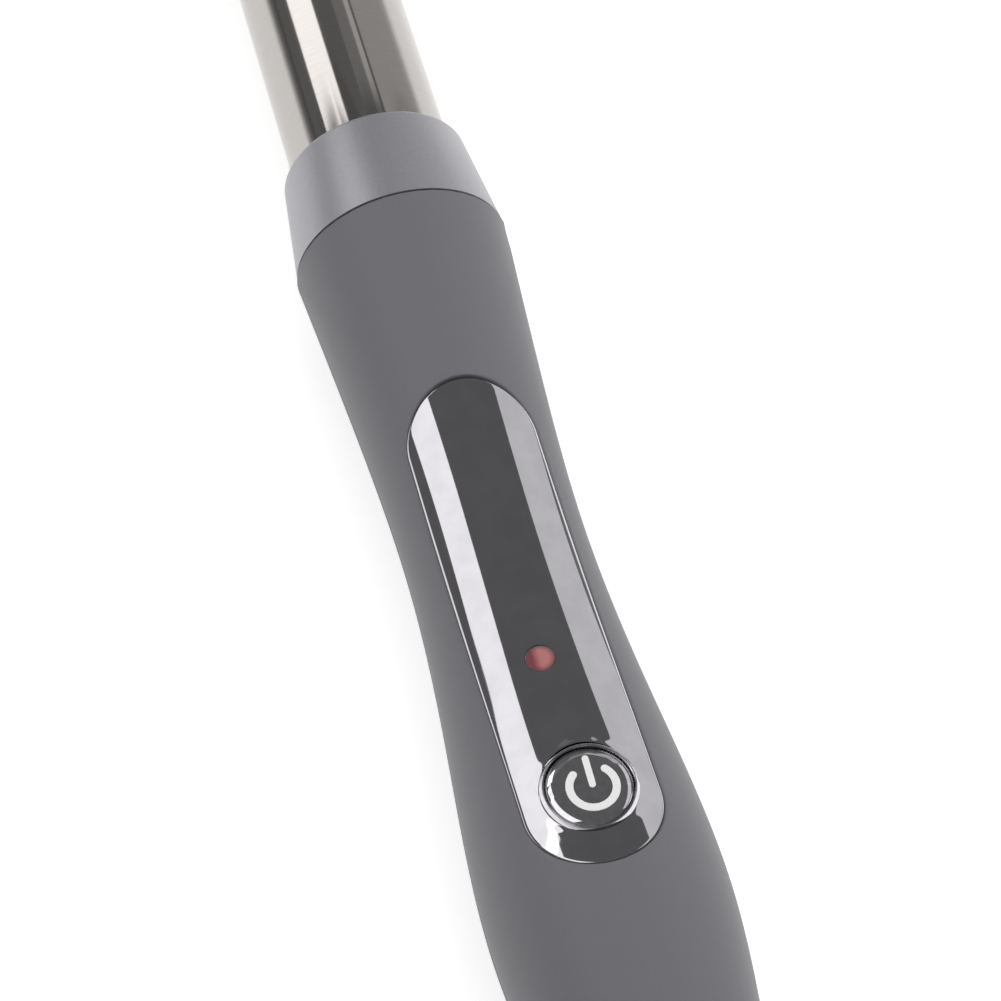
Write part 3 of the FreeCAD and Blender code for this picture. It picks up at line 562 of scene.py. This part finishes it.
def turned(name, corners, material, place=along_wand, steps=192, sharp=35):
    """Turns an outline with the lathe, and puts its mesh where a matrix says."""
    outline = rounded(corners)
    curve = bpy.data.curves.new(name + "_outline", "CURVE")
    curve.dimensions = "3D"
    spline = curve.splines.new("POLY")
    spline.points.add(len(outline) - 1)
    for point, spot in zip(spline.points, outline):
        point.co = (spot.x * MM, -spot.y * MM, 0, 1)    # the sweep turns the outline's -Y to +Z
    spline.use_cyclic_u = True
    draft = bpy.data.objects.new(name + "_draft", curve)
    bpy.context.scene.collection.objects.link(draft)
    spin = draft.modifiers.new("lathe", "NODES")
    spin.node_group = LATHE
    spin[STEPS_ROUND] = steps
    spin[FINISH] = material
    graph = bpy.context.evaluated_depsgraph_get()
    mesh = bpy.data.meshes.new_from_object(draft.evaluated_get(graph))
    bpy.data.objects.remove(draft)
    points = [place @ v.co for v in mesh.vertices]
    return solid(name, points, [tuple(p.vertices) for p in mesh.polygons], sharp)


# %% [markdown]
# ## The barrel
# The barrel is an aluminium tube under a polished titanium coating: a warm grey mirror, not as
# clear as the panel. The coating is polished round and round on a lathe, which leaves rings about
# a tenth of a millimetre apart, too fine to count but enough to soften the edge of a reflection.

# %% Polished titanium, barrel and cool tip
# a warm grey mirror with slightly soft edges to its reflections
titanium, titanium_tree, titanium_shader = finish_of("polished_titanium_coating", "#ADA9A6", 0.09, 1.0)
polish = grain(titanium_tree, titanium_shader, 0.1, 0.00003, stretch=(40, 1, 40))
tint(titanium_tree, titanium_shader, polish, "#A9A5A2", "#B0ACA9")

barrel = turned("barrel_skin", [
    (11.7, -8.4, 0), (12.3, -8.4, 0), (12.3, 17.1, 0), (12.5, 17.1, 0.05), (12.5, 142, 0.3),
    (11.7, 142, 0)], titanium)
settle(barrel, titanium, "wand", "titanium_barrel", "barrel_tube")
tip = turned("cool_tip_cap", [
    (0, 155, 0), (10, 154, 0), (10, 133, 0), (11.6, 133, 0), (11.6, 142.15, 0),
    (12.3, 142.15, 0.12), (11.8, 157, 3.5), (0, 157, 0)], soft_touch)
settle(tip, soft_touch, "wand", "soft_touch_grey", "cool_tip")


# %% [markdown]
# ## The collar
# The collar is ABS with a metallic paint: tiny flakes in a satin lacquer. The flakes are mirrors
# of a few hundredths of a millimetre that all point a little differently, so a half-metallic
# surface of middling roughness carries a fine relief. The flakes are drawn about 0.15 mm across,
# coarser than the real ones, so that the sparkle shows at all.

# %% Metallic paint, collar, end cap and swivel
# a satin grey with a soft broad highlight and a fine sparkle
satin_paint, satin_tree, satin_shader = finish_of(
    "satin_metallic_paint", "#9D9CA1", 0.4, 0.55, Coat_Weight=0.15, Coat_Roughness=0.3)
flakes = grain(satin_tree, satin_shader, 0.15, 0.004, detail=1.0)
tint(satin_tree, satin_shader, flakes, "#96959A", "#A4A3A8")

collar = turned("collar_ring", [
    (13.5, -4, 0), (13.8, -4, 0), (13.8, 0, 0), (16.3, 0, 0.12), (14.35, 17.1, 0.9),
    (12.8, 17.1, 0.12), (12.8, 13.5, 0), (13.5, 13.5, 0)], satin_paint)
end_cap = turned("end_cap_ring", [
    (7.0, -155, 0.3), (11.0, -155, 1.6), (11.9, -150, 0.15), (9.2, -150, 0), (9.2, -143.9, 0),
    (7.0, -143.9, 0)], satin_paint)
swivel = turned("swivel_sleeve", [
    (3.3, -133, 0), (5.0, -133, 0.1), (5.0, -140.9, 0), (8.6, -140.9, 0.1), (8.6, -142.9, 0.1),
    (6.92, -142.9, 0), (6.92, -158, 0.2), (5.72, -163, 1.2), (3.3, -163, 0.4)], satin_paint)
settle(collar, satin_paint, "wand", "satin_grey", "collar")
settle(end_cap, satin_paint, "wand", "satin_grey", "end_cap")
settle(swivel, satin_paint, "cord_swivel", "satin_grey", "swivel_spindle")


# %% [markdown]
# ## Rubber
# A thin rubber ring fills the seam between handle and collar, and two rubber plugs hide the
# screws on the back. All of them are turned with the same lathe, and the two plugs are joined to one
# mesh, because they are one node in the frame. Rubber is rough and slightly uneven.

# %% Seam ring and screw plugs
# nearly black, with no clear highlight: it reads as a line of shade
dark_rubber, rubber_tree, rubber_shader = finish_of("dark_rubber", "#2C2B2D", 0.7, ior=1.52)
rubber_noise = grain(rubber_tree, rubber_shader, 0.2, 0.006)
tint(rubber_tree, rubber_shader, rubber_noise, "#272628", "#313032")
# the handle's own grey, a little duller
grey_rubber, plug_tree, plug_shader = finish_of("grey_rubber", "#5C5B5E", 0.65, ior=1.52)
plug_noise = grain(plug_tree, plug_shader, 0.2, 0.008)
tint(plug_tree, plug_shader, plug_noise, "#575659", "#616063")

seam = turned("seam_band", [
    (14.2, -0.38, 0), (16.1, -0.38, 0.08), (16.1, -0.02, 0.08), (14.2, -0.02, 0)], dark_rubber)
settle(seam, dark_rubber, "wand", "dark_rubber", "seam_ring")

plug_points, plug_faces = [], []
for station, depth in SCREWS.items():
    place = (Matrix.Translation((0, SEAM + station * MM, AXIS - depth * MM))
             @ Matrix.Rotation(math.pi, 4, "X"))
    outline = [(0, 0, 0), (2.9, 0, 0.35), (2.9, -3.2, 0), (0, -3.2, 0)]
    plug = turned("plug", outline, grey_rubber, place, steps=96)
    shift = len(plug_points)
    plug_points += [v.co.copy() for v in plug.data.vertices]
    plug_faces += [tuple(i + shift for i in p.vertices) for p in plug.data.polygons]
    bpy.data.objects.remove(plug)
plugs = solid("screw_plug_pair", plug_points, plug_faces)
settle(plugs, grey_rubber, "wand", "grey_rubber", "screw_plugs")


# %% [markdown]
# ## The power button
# The button sits in a chrome ring on an axis that leans 3.3 degrees towards the tip. Its cap is
# flat in the middle and falls away in a wide round edge, which is what draws the two bright
# crescents. The ring has a slanted outer face that shines and a steep inner one that stays dark.

# %% Button ring and cap
button_place = (Matrix.Translation((0, SEAM + BUTTON * MM, AXIS + BUTTON_HEIGHT * MM))
                @ Matrix.Rotation(-BUTTON_TILT, 4, "X"))
bezel = turned("button_ring", [
    (5.91, -3.2, 0), (6.55, -3.2, 0), (6.55, -0.62, 0.04), (6.19, 0, 0.12), (6.06, 0, 0.04),
    (5.91, -0.22, 0.06)], bright_chrome, button_place, sharp=60)
settle(bezel, bright_chrome, "wand", "bright_chrome", "button_bezel")

CAP_FLAT = 4.2             # radius of the flat face
CAP_ROUND = 2.4            # radius of its rounded edge, seen in section
cap_edge = [(CAP_FLAT + CAP_ROUND * math.sin(math.radians(a)),
             CAP_ROUND * (math.cos(math.radians(a)) - 1), 0) for a in range(0, 40, 2)]
cap = turned("button_cap", [
    (0, -4.4, 0), (1.8, -4.4, 0), (1.8, -1.6, 0), (4.7, -1.6, 0), (4.7, -3.9, 0), (6.15, -3.9, 0),
    (6.15, -3.3, 0), (5.83, -3.3, 0), (5.83, -0.75, 0.05), *reversed(cap_edge), (0, 0, 0)],
    bright_chrome, button_place, sharp=60)
settle(cap, bright_chrome, "power_button", "bright_chrome", "power_button")


# %% [markdown]
# ## The indicator lens
# A clear red lens covers the light. It is a shallow dome that stands just above the plate. Its
# red carries painted shade. The rim is painted dark, as the shade of the plate's hole. The left third
# is painted darker, as the shade of the hole's wall with the light under it to the right, and the right
# is a painted reflection, lighter. A painted image could show that, but two ramps paint it at any
# scale: one on the distance from the lens's centre, and a soft step across it.

# %% Lens and its red, with painted shade
# a dull pink-red that looks unlit, under a thin gloss
red_lens, lens_tree, lens_shader = finish_of(
    "red_acrylic_lens", "#C45055", 0.22, ior=1.49, Coat_Weight=0.5, Coat_Roughness=0.05)
lens_low, lens_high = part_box("indicator_lens")
lens_centre = (lens_low + lens_high) / 2
lens_place = add(lens_tree, "ShaderNodeTexCoord")
lens_map = add(lens_tree, "ShaderNodeMapping", {"Vector": lens_place.outputs["Object"]})
lens_map.inputs["Location"].default_value = [-c / (LENS_RADIUS * MM) for c in lens_centre[:2]] + [0]
lens_map.inputs["Scale"].default_value = [1 / (LENS_RADIUS * MM)] * 2 + [0]
apart = add(lens_tree, "ShaderNodeSeparateXYZ", {"Vector": lens_map.outputs["Vector"]})
# painted shade across the lens: the left third darker, the right a lighter painted reflection
painted_side_shade_ramp = add(lens_tree, "ShaderNodeValToRGB")
across = add(lens_tree, "ShaderNodeMapRange", {"Value": apart.outputs["X"]},
             inputs={"From Min": -1.0, "From Max": 1.0})
lens_tree.links.new(across.outputs["Result"], painted_side_shade_ramp.inputs["Fac"])
painted_side_shade_ramp.color_ramp.elements[0].position = 0.25
painted_side_shade_ramp.color_ramp.elements[0].color = linear("#7E3C43")
painted_side_shade_ramp.color_ramp.elements[1].position = 0.5
painted_side_shade_ramp.color_ramp.elements[1].color = linear("#B07170")
far = add(lens_tree, "ShaderNodeVectorMath", {0: lens_map.outputs["Vector"]}, operation="LENGTH")
# painted shade: the lens turns darker towards its rim
painted_rim_shade_ramp = add(lens_tree, "ShaderNodeValToRGB", {"Fac": far.outputs["Value"]})
painted_rim_shade_ramp.color_ramp.elements[0].position = 0.6
painted_rim_shade_ramp.color_ramp.elements[0].color = (0, 0, 0, 1)
painted_rim_shade_ramp.color_ramp.elements[1].position = 1.0
painted_rim_shade_ramp.color_ramp.elements[1].color = (1, 1, 1, 1)
shade = add(lens_tree, "ShaderNodeMix", {0: painted_rim_shade_ramp.outputs["Color"], 6: painted_side_shade_ramp.outputs["Color"]},
            data_type="RGBA")
# the colour of the painted shade at the lens's rim
shade.inputs[7].default_value = linear("#5E464A")
lens_tree.links.new(shade.outputs[2], lens_shader.inputs["Base Color"])

lens_top = plate_height(LENS_X, LENS_STATION) + 0.04
lens_normal = Vector((LENS_X / (radius_at(LENS_STATION) + CROWN), -slope_at(LENS_STATION), 1))
lens_stand = (Matrix.Translation((LENS_X * MM, SEAM + LENS_STATION * MM, AXIS + lens_top * MM))
              @ Vector((0, 0, 1)).rotation_difference(lens_normal).to_matrix().to_4x4())
dome = [(LENS_RADIUS * math.sin(a), 0.13 * (math.cos(a) - 1), 0)
        for a in np.linspace(math.pi / 2.2, 0, 16)]
lens = turned("indicator_dome", [(0, -2.4, 0), (LENS_RADIUS, -2.4, 0), *dome], red_lens, lens_stand, 96)
settle(lens, red_lens, "wand", "red_lens", "indicator_lens")


# %% [markdown]
# ## Finishes for the parts that stay
# The printed symbol and everything inside the handle keep their CAD meshes, which are the right
# shape already, and only need a finish. A table holds them: for each slot of the record, the real
# material, two near shades, roughness, metal or not, IOR, and the size and height of its grain in
# millimetres. The comment beside each says what that finish gives the eye.

# %% A table of finishes
FINISHES = {
    # a satin white ink, with the faint mottle of a pad print
    "symbol_white": ("pad_printed_white_ink", "#E4E4E4", "#E9E9E8", 0.5, 0, 1.5, 0.15, 0.002),
    # cast epoxy, red and clear like a boiled sweet
    "led_epoxy": ("red_led_epoxy", "#8E1C20", "#A4262A", 0.15, 0, 1.55, 0.8, 0.001),
    # glass-filled nylon, moulded: dull black with a sandy skin
    "black_nylon": ("glass_filled_nylon", "#1B1B1C", "#242425", 0.55, 0, 1.53, 0.25, 0.01),
    # acetal, moulded smooth, with a waxy shine
    "plunger_black": ("moulded_acetal", "#161617", "#1E1E1F", 0.35, 0, 1.48, 0.3, 0.003),
    # extruded aluminium: pale metal with lengthwise die lines
    "extruded_aluminium": ("extruded_aluminium", "#C9CACC", "#D6D7D8", 0.35, 1, 1.5, 0.12, 0.004),
    # sintered alumina: chalk white and slightly porous
    "alumina": ("sintered_alumina", "#E6E3DC", "#EFEDE8", 0.6, 0, 1.76, 0.1, 0.004),
    # mica sheet: brown and glittering in flakes
    "mica_sheet": ("mica_sheet", "#9A8660", "#B8A47A", 0.35, 0, 1.58, 1.2, 0.01),
    # hardened spring steel, blue-grey from tempering
    "spring_steel": ("tempered_spring_steel", "#7F8288", "#94979C", 0.3, 1, 1.5, 0.2, 0.002),
    # fused glass bead, amber
    "glass_bead": ("fused_glass_bead", "#8A6A3C", "#A07E4C", 0.1, 0, 1.52, 0.5, 0.001),
    # braided glass fibre: off-white, with a woven roughness
    "glass_fibre_sleeve": ("braided_glass_fibre", "#D8D4C8", "#EAE7DE", 0.75, 0, 1.5, 0.3, 0.03),
    # plated brass can of the fuse
    "fuse_metal": ("nickel_plated_can", "#B4B0A8", "#C6C2BA", 0.25, 1, 1.5, 0.4, 0.001),
    # zinc plating: bluish, slightly cloudy
    "zinc_plated_steel": ("zinc_plated_steel", "#A9ADB2", "#C0C4C8", 0.32, 1, 1.5, 0.35, 0.003),
    # glass-epoxy laminate under green solder resist, the weave just showing
    "green_laminate": ("green_solder_resist", "#1E5A38", "#267046", 0.3, 0, 1.55, 0.4, 0.004),
    # transfer-moulded epoxy: black and finely matt
    "black_epoxy": ("moulded_black_epoxy", "#1A1A1B", "#232324", 0.5, 0, 1.55, 0.12, 0.005),
    # flame-retardant plastic case, yellow
    "yellow_case": ("yellow_pbt_case", "#D8A82C", "#E2B63C", 0.4, 0, 1.57, 0.3, 0.004),
    # heat-shrunk printed sleeve of the can
    "capacitor_sleeve": ("shrunk_pet_sleeve", "#20222C", "#2A2C38", 0.3, 0, 1.57, 0.6, 0.003),
    # dipped epoxy, blue and glossy with a lumpy skin
    "blue_epoxy": ("dipped_blue_epoxy", "#23509A", "#2C5EAE", 0.25, 0, 1.55, 0.9, 0.02),
    # painted resistor body
    "resistor_body": ("resistor_paint", "#C9B08A", "#D6BE98", 0.4, 0, 1.5, 0.4, 0.006),
    # glazed ceramic tube
    "fuse_ceramic": ("glazed_ceramic", "#DEDBD2", "#EAE8E0", 0.25, 0, 1.6, 0.5, 0.003),
    # silicone rubber: soft sheen, slightly dusty
    "silicone_wire": ("silicone_insulation", "#A83A30", "#B8463A", 0.5, 0, 1.43, 0.25, 0.004),
    # drawn brass, warm and slightly tarnished
    "brass": ("drawn_brass", "#B8934C", "#CBA65C", 0.28, 1, 1.5, 0.3, 0.002),
    # sintered PTFE: milky and waxy
    "ptfe": ("sintered_ptfe", "#E4E4E0", "#EFEFEC", 0.4, 0, 1.35, 0.4, 0.003),
}

painted = {}
for slot, (title, first, second, rough, metal, ior, size, height) in FINISHES.items():
    material, tree, shader = finish_of(title, first, rough, metal, ior)
    noise = grain(tree, shader, size, height)
    tint(tree, shader, noise, first, second)
    painted[slot] = material
kept = 0
for part in frame["record"]["subparts"]:
    if part["material_slot"] in painted:
        for place in frame["nodes"][part["node"]].material_slots:
            place.material = painted[part["material_slot"]]
        kept += 1
print("CAD parts given a finish:", kept)


# %% [markdown]
# ## Camera
# The wand is seen from above its handle, a little from the left, with the tip running away. A long
# lens keeps the barrel and the grip in proportion.

# %% Camera
camera_data = bpy.data.cameras.new("camera")
camera_data.lens = 100.6
camera_data.sensor_width = 36
camera = bpy.data.objects.new("camera", camera_data)
camera.location = (-56.5 * MM, SEAM - 247.34 * MM, AXIS + 343.27 * MM)
camera.rotation_euler = [math.radians(v) for v in (31.493, -0.682, -15.333)]
bpy.context.scene.collection.objects.link(camera)
bpy.context.scene.camera = camera


# %% [markdown]
# ## The white sweep
# Product pictures are shot on a lit white sweep: a sheet that glows from below, so that no shadow
# is left. The floor is a white diffuser that also gives off light, and the room is dark above and
# turns bright in the last degrees over the horizon, where a real sweep would curve upwards.

# %% Floor and room
FLOOR_HALF = 8
floor_mesh = bpy.data.meshes.new("floor")
floor_mesh.from_pydata([(x * FLOOR_HALF, y * FLOOR_HALF, 0)
                        for x, y in ((-1, -1), (1, -1), (1, 1), (-1, 1))], [], [(0, 1, 2, 3)])
floor = bpy.data.objects.new("floor", floor_mesh)
floor_finish, _, _ = finish_of("lit_white_sweep", "#E0E0E0", 0.9, Emission_Color=linear("#FFFFFF"),
                               Emission_Strength=0.55)
floor_mesh.materials.append(floor_finish)
bpy.context.scene.collection.objects.link(floor)

world = bpy.data.worlds.new("studio")
world.use_nodes = True
room = world.node_tree
direction = add(room, "ShaderNodeTexCoord")
height = add(room, "ShaderNodeSeparateXYZ", {"Vector": direction.outputs["Generated"]})
glow = add(room, "ShaderNodeValToRGB", {"Fac": height.outputs["Z"]})
glow.color_ramp.elements.new(0.5)
for stop, (place, level) in zip(glow.color_ramp.elements, ((0.0, 0.8), (0.06, 0.3), (0.15, 0.14))):
    stop.position = place
    stop.color = (level, level, level, 1)
room.links.new(glow.outputs["Color"], room.nodes["Background"].inputs["Color"])
bpy.context.scene.world = world
bpy.context.scene.view_settings.view_transform = "Standard"


# %% [markdown]
# ## Soft light
# Mirrors show the lights themselves, so each softbox is placed by where its reflection falls. It
# stands on a circle round the wand's axis, at an azimuth from straight up, and covers a width in
# degrees. One set stands where the panel looks, and one further towards the tip, where the barrel
# looks. A large light overhead fills in the matt parts and stays out of the mirrors.

# %% Softboxes
REACH = 0.6            # radius of the circle that the softboxes stand on
SOFTBOXES = {
    # name: azimuth from, azimuth to, y from, y to, turned in its own plane, radiance
    "panel_left": (-53.6, -25.6, 0.1545, 0.4245, 25, 1.33),
    "panel_left_near": (-54, -20, -0.355, 0.185, 20, 1.33),
    "panel_right": (44.5, 80, -0.25, 0.45, 0, 0.68),
    "barrel_left": (-57, -22.5, 0.46, 0.85, 0, 2.05),
    "barrel_right": (31, 90, 0.46, 0.85, 0, 0.39),
    "barrel_line": (21, 28, 0.46, 0.85, 0, 0.55),
    "barrel_top": (5, 21, 0.46, 0.85, 0, 0.16),
    "barrel_base": (-75, 5, 0.51, 0.85, 0, 0.055),
}
for name, (first, last, near, far, yaw, radiance) in SOFTBOXES.items():
    data = bpy.data.lights.new(name, "AREA")
    data.shape = "RECTANGLE"
    width = 2 * REACH * math.tan(math.radians(last - first) / 2)
    data.size = width * math.cos(math.radians(yaw))      # narrower, so that it spans the same azimuths
    data.size_y = far - near
    data.energy = radiance * math.pi * data.size * data.size_y
    lamp = bpy.data.objects.new(name, data)
    turn = math.radians((first + last) / 2)
    lamp.matrix_world = (
        Matrix.Translation((REACH * math.sin(turn), (near + far) / 2, AXIS + REACH * math.cos(turn)))
        @ Matrix.Rotation(turn, 4, "Y") @ Matrix.Rotation(math.radians(yaw), 4, "Z"))
    lamp.visible_camera = False
    bpy.context.scene.collection.objects.link(lamp)

FILL_SIZE = 2.4
FILL_RADIANCE = 1.2
fill_data = bpy.data.lights.new("overhead", "AREA")
fill_data.shape = "SQUARE"
fill_data.size = FILL_SIZE
fill_data.energy = FILL_RADIANCE * math.pi * FILL_SIZE ** 2
fill = bpy.data.objects.new("overhead", fill_data)
fill.location = (0.5, -0.3, 1.2)
fill.rotation_euler = (0, math.radians(20), 0)
fill.visible_camera = fill.visible_glossy = False
bpy.context.scene.collection.objects.link(fill)
print("softboxes:", len(SOFTBOXES) + 1)
